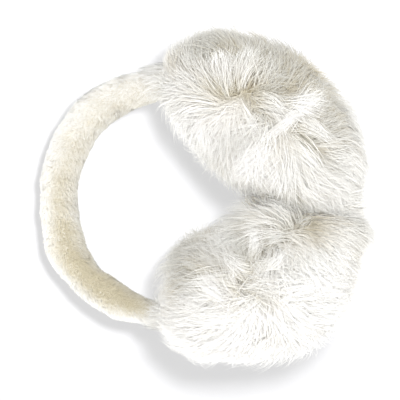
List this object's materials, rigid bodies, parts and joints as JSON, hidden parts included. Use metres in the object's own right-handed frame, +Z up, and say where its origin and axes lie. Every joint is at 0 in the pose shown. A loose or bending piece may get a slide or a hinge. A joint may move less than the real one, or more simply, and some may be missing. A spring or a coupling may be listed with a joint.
{
  "type": "fur earmuffs",
  "caption": "Winter earmuffs: a curved, plush-covered headband with a thick long-haired fur muff at each end, lying on one side with the muffs pressed together.",
  "frame": {"origin": "on the surface that the earmuffs lie on, under the middle of their overall box", "axes": "+X from the headband's crown towards the muffs, +Y across from the lower muff to the upper muff as the picture shows them, +Z up from the surface"},
  "size_m": [0.2014, 0.2096, 0.1148],
  "materials": {
    "plush": "sheared cream plush with a short dense nap",
    "fur": "long soft white fur with greyish beige underfur"
  },
  "bodies": {
    "root": {"headband": "plush", "fur_muff_upper": "fur", "fur_muff_lower": "fur"}
  },
  "joints": []
}
